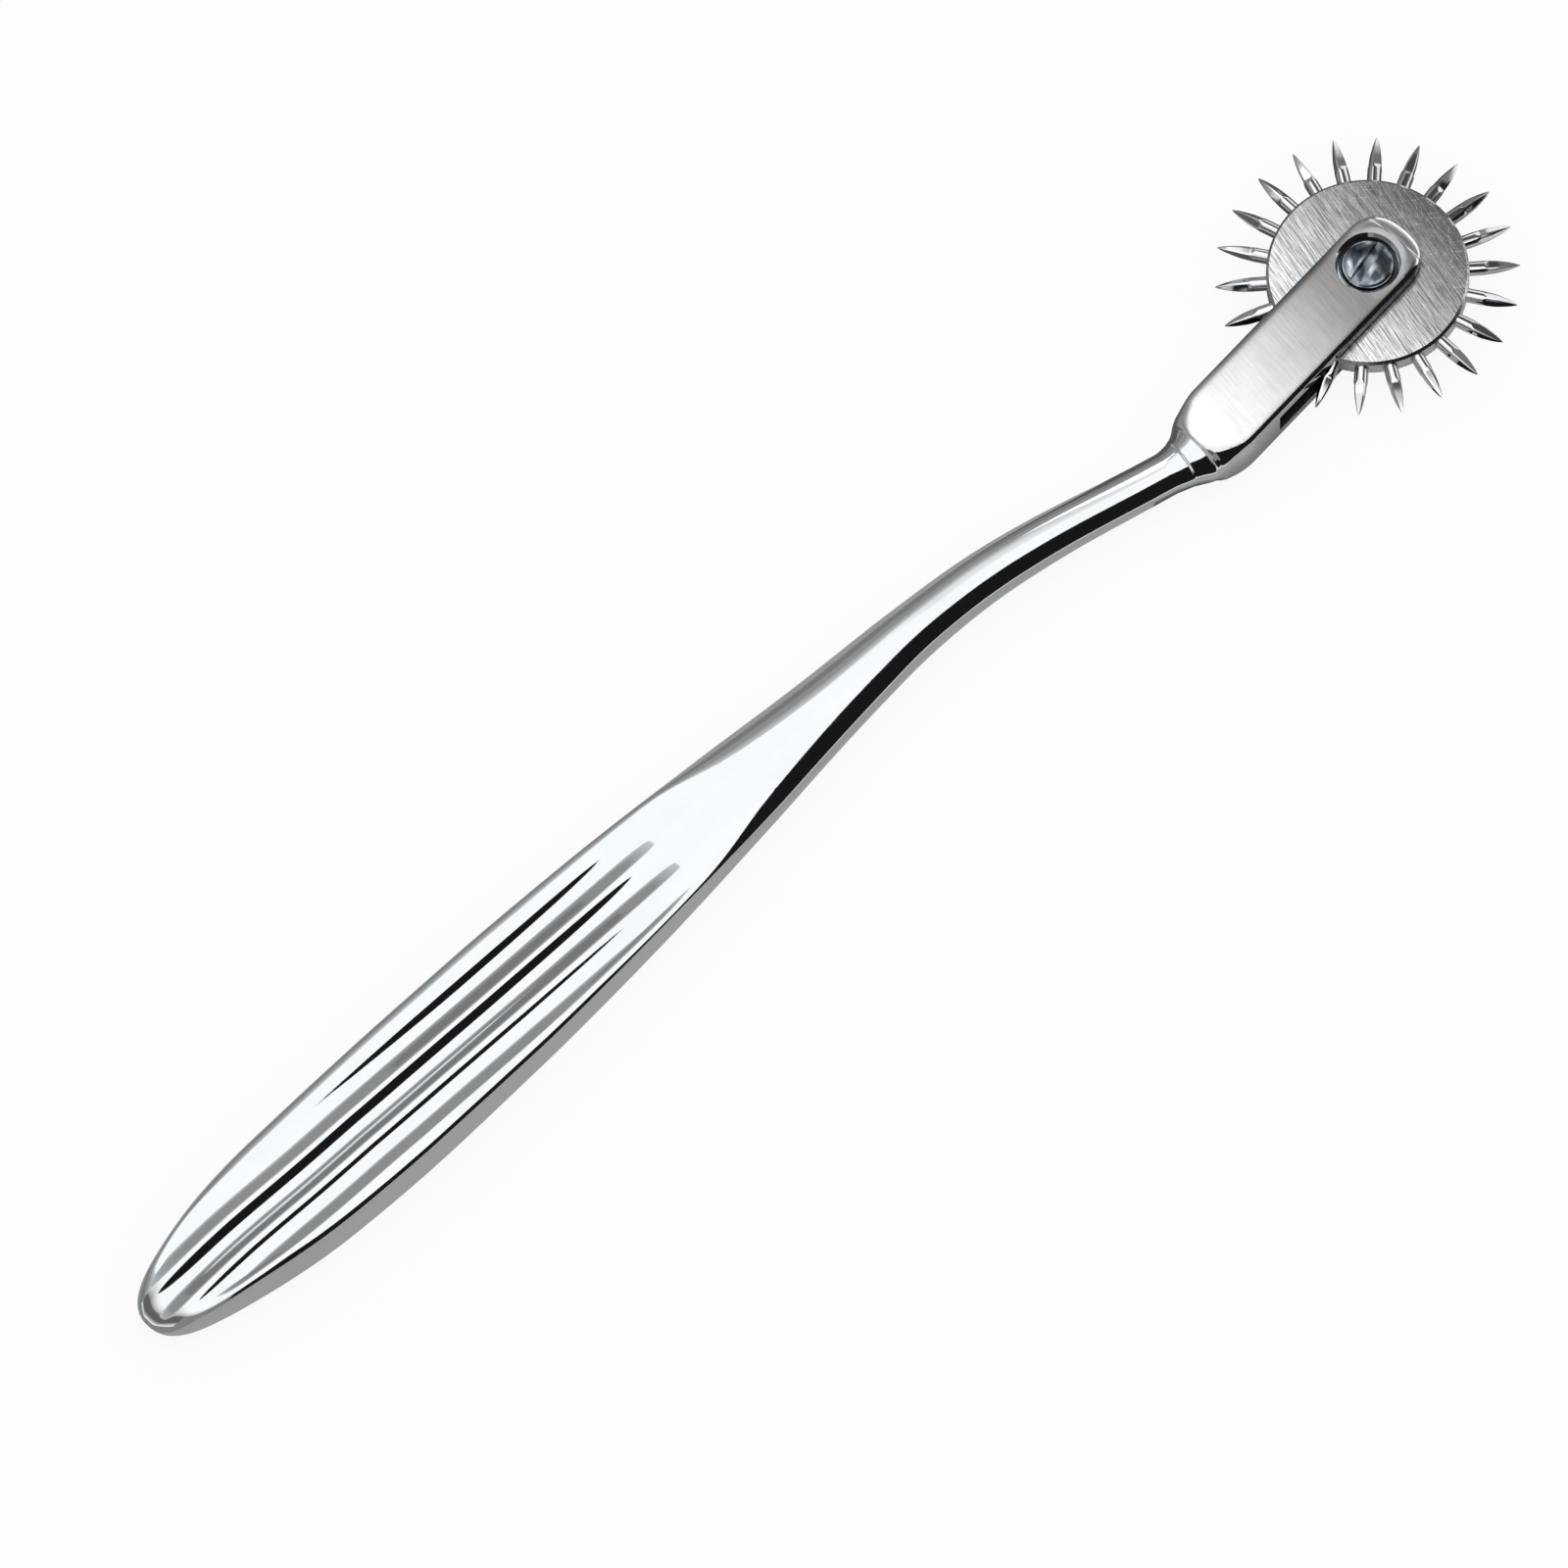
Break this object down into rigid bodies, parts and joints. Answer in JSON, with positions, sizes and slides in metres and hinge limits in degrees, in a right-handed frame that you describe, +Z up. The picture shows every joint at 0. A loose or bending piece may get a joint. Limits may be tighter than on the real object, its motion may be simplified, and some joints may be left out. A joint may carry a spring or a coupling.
{
  "type": "neurological pinwheel",
  "caption": "Hand-held neurological pinwheel: a free-spinning disc of radial pins on a shoulder screw in the slotted fork of a fluted, one-piece metal handle.",
  "frame": {"origin": "centre of the underside of the part's box, as it lies flat", "axes": "+X along the handle towards the wheel, +Z up along the wheel's axis, out of the screw's head side"},
  "size_m": [0.1892, 0.032, 0.0072],
  "materials": {
    "forging": "polished",
    "disc": "brushed",
    "pins": "ground and polished",
    "screw": "bright plated"
  },
  "bodies": {
    "handle_body": {"handle": "forging", "axle_screw": "screw"},
    "wheel_body": {"wheel_disc": "disc", "pin_01": "pins", "pin_02": "pins", "pin_03": "pins", "pin_04": "pins", "pin_05": "pins", "pin_06": "pins", "pin_07": "pins", "pin_08": "pins", "pin_09": "pins", "pin_10": "pins", "pin_11": "pins", "pin_12": "pins", "pin_13": "pins", "pin_14": "pins", "pin_15": "pins", "pin_16": "pins", "pin_17": "pins", "pin_18": "pins", "pin_19": "pins", "pin_20": "pins", "pin_21": "pins", "pin_22": "pins"}
  },
  "joints": [
    {"name": "wheel_spin", "type": "hinge", "parent": "handle_body", "child": "wheel_body", "pos_m": [0.07872, 0, 0.00345], "axis": [0, 0, 1], "continuous": true}
  ]
}
